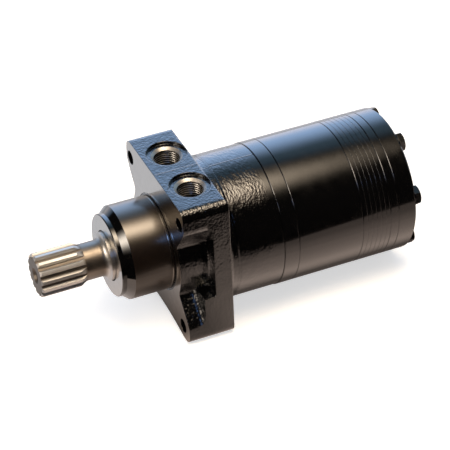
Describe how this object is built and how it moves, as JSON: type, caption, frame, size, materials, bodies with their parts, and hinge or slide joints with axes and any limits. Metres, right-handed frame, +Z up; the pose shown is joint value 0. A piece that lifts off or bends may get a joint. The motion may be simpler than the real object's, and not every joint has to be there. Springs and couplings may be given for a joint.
{
  "type": "gerotor hydraulic motor",
  "caption": "Low-speed gerotor hydraulic motor: square-flange cast housing with ports on top, round pilot nose, splined output shaft and a bolted stack behind it.",
  "frame": {"origin": "where the shaft axis crosses the flange's mounting face", "axes": "+Y along the shaft axis toward the rear cover, so the output shaft points to -Y; +Z up, the way the ports open"},
  "size_m": [0.111, 0.2736, 0.1108],
  "materials": {
    "black_paint": "gloss black paint on cast iron and steel, bare machined nose and flange face",
    "machined_steel": "machined, lightly oiled",
    "ground_steel": "ground",
    "bearing_cage": "stamped, satin",
    "seal_rubber": "moulded, matt"
  },
  "bodies": {
    "motor_body": {"housing": "black_paint", "wear_plate": "black_paint", "rotor_set_ring": "black_paint", "manifold": "black_paint", "commutator_ring": "black_paint", "end_cover": "black_paint", "end_bolts": "black_paint", "dust_seal": "seal_rubber", "shaft_seal": "seal_rubber", "seal_backup_washer": "ground_steel", "front_bearing_race": "ground_steel", "rear_bearing_race": "ground_steel", "thrust_washer": "ground_steel", "housing_seal_ring": "seal_rubber", "wear_plate_seal_ring": "seal_rubber", "rotor_set_seal_ring": "seal_rubber", "manifold_seal_ring": "seal_rubber", "end_cover_seal_ring": "seal_rubber"},
    "shaft": {"output_shaft": "machined_steel"},
    "commutator_set": {"commutator": "ground_steel", "commutator_seal_ring": "seal_rubber"},
    "rotor": {"rotor": "ground_steel"},
    "link": {"drive_link": "machined_steel"},
    "front_bearing": {"front_bearing_cage": "bearing_cage", "front_bearing_rollers": "ground_steel"},
    "rear_bearing": {"rear_bearing_cage": "bearing_cage", "rear_bearing_rollers": "ground_steel"},
    "thrust_bearing": {"thrust_bearing_cage": "bearing_cage", "thrust_bearing_rollers": "ground_steel"},
    "roller_1": {"roller_1": "ground_steel"},
    "roller_2": {"roller_2": "ground_steel"},
    "roller_3": {"roller_3": "ground_steel"},
    "roller_4": {"roller_4": "ground_steel"},
    "roller_5": {"roller_5": "ground_steel"},
    "roller_6": {"roller_6": "ground_steel"},
    "roller_7": {"roller_7": "ground_steel"}
  },
  "joints": [
    {"name": "shaft_spin", "type": "hinge", "parent": "motor_body", "child": "shaft", "pos_m": [0, 0, 0], "axis": [0, 1, 0], "continuous": true},
    {"name": "commutator_orbit", "type": "hinge", "parent": "motor_body", "child": "commutator_set", "pos_m": [0, 0.1611, 0], "axis": [0, 1, 0], "continuous": true},
    {"name": "rotor_spin", "type": "hinge", "parent": "commutator_set", "child": "rotor", "pos_m": [0, 0.11135, 0.003], "axis": [0, 1, 0], "continuous": true},
    {"name": "link_spin", "type": "hinge", "parent": "commutator_set", "child": "link", "pos_m": [0, 0.038, 0], "axis": [0, 0.9992, 0.0409], "continuous": true},
    {"name": "front_bearing_spin", "type": "hinge", "parent": "motor_body", "child": "front_bearing", "pos_m": [0, -0.007, 0], "axis": [0, 1, 0], "continuous": true},
    {"name": "rear_bearing_spin", "type": "hinge", "parent": "motor_body", "child": "rear_bearing", "pos_m": [0, 0.052, 0], "axis": [0, 1, 0], "continuous": true},
    {"name": "thrust_bearing_spin", "type": "hinge", "parent": "motor_body", "child": "thrust_bearing", "pos_m": [0, 0.007, 0], "axis": [0, 1, 0], "continuous": true},
    {"name": "roller_1_spin", "type": "hinge", "parent": "motor_body", "child": "roller_1", "pos_m": [-0.00134, 0.11135, 0.03347], "axis": [0, 1, 0], "continuous": true},
    {"name": "roller_2_spin", "type": "hinge", "parent": "motor_body", "child": "roller_2", "pos_m": [0.02534, 0.11135, 0.02191], "axis": [0, 1, 0], "continuous": true},
    {"name": "roller_3_spin", "type": "hinge", "parent": "motor_body", "child": "roller_3", "pos_m": [0.03293, 0.11135, -0.00615], "axis": [0, 1, 0], "continuous": true},
    {"name": "roller_4_spin", "type": "hinge", "parent": "motor_body", "child": "roller_4", "pos_m": [0.01573, 0.11135, -0.02958], "axis": [0, 1, 0], "continuous": true},
    {"name": "roller_5_spin", "type": "hinge", "parent": "motor_body", "child": "roller_5", "pos_m": [-0.01332, 0.11135, -0.03074], "axis": [0, 1, 0], "continuous": true},
    {"name": "roller_6_spin", "type": "hinge", "parent": "motor_body", "child": "roller_6", "pos_m": [-0.03234, 0.11135, -0.00875], "axis": [0, 1, 0], "continuous": true},
    {"name": "roller_7_spin", "type": "hinge", "parent": "motor_body", "child": "roller_7", "pos_m": [-0.027, 0.11135, 0.01983], "axis": [0, 1, 0], "continuous": true}
  ],
  "couplings": [
    {"joint": "commutator_orbit", "follows": "shaft_spin", "ratio": -6},
    {"joint": "rotor_spin", "follows": "shaft_spin", "ratio": 7},
    {"joint": "link_spin", "follows": "shaft_spin", "ratio": 7},
    {"joint": "front_bearing_spin", "follows": "shaft_spin", "ratio": 0.4375},
    {"joint": "rear_bearing_spin", "follows": "shaft_spin", "ratio": 0.46491},
    {"joint": "thrust_bearing_spin", "follows": "shaft_spin", "ratio": 0.5}
  ]
}
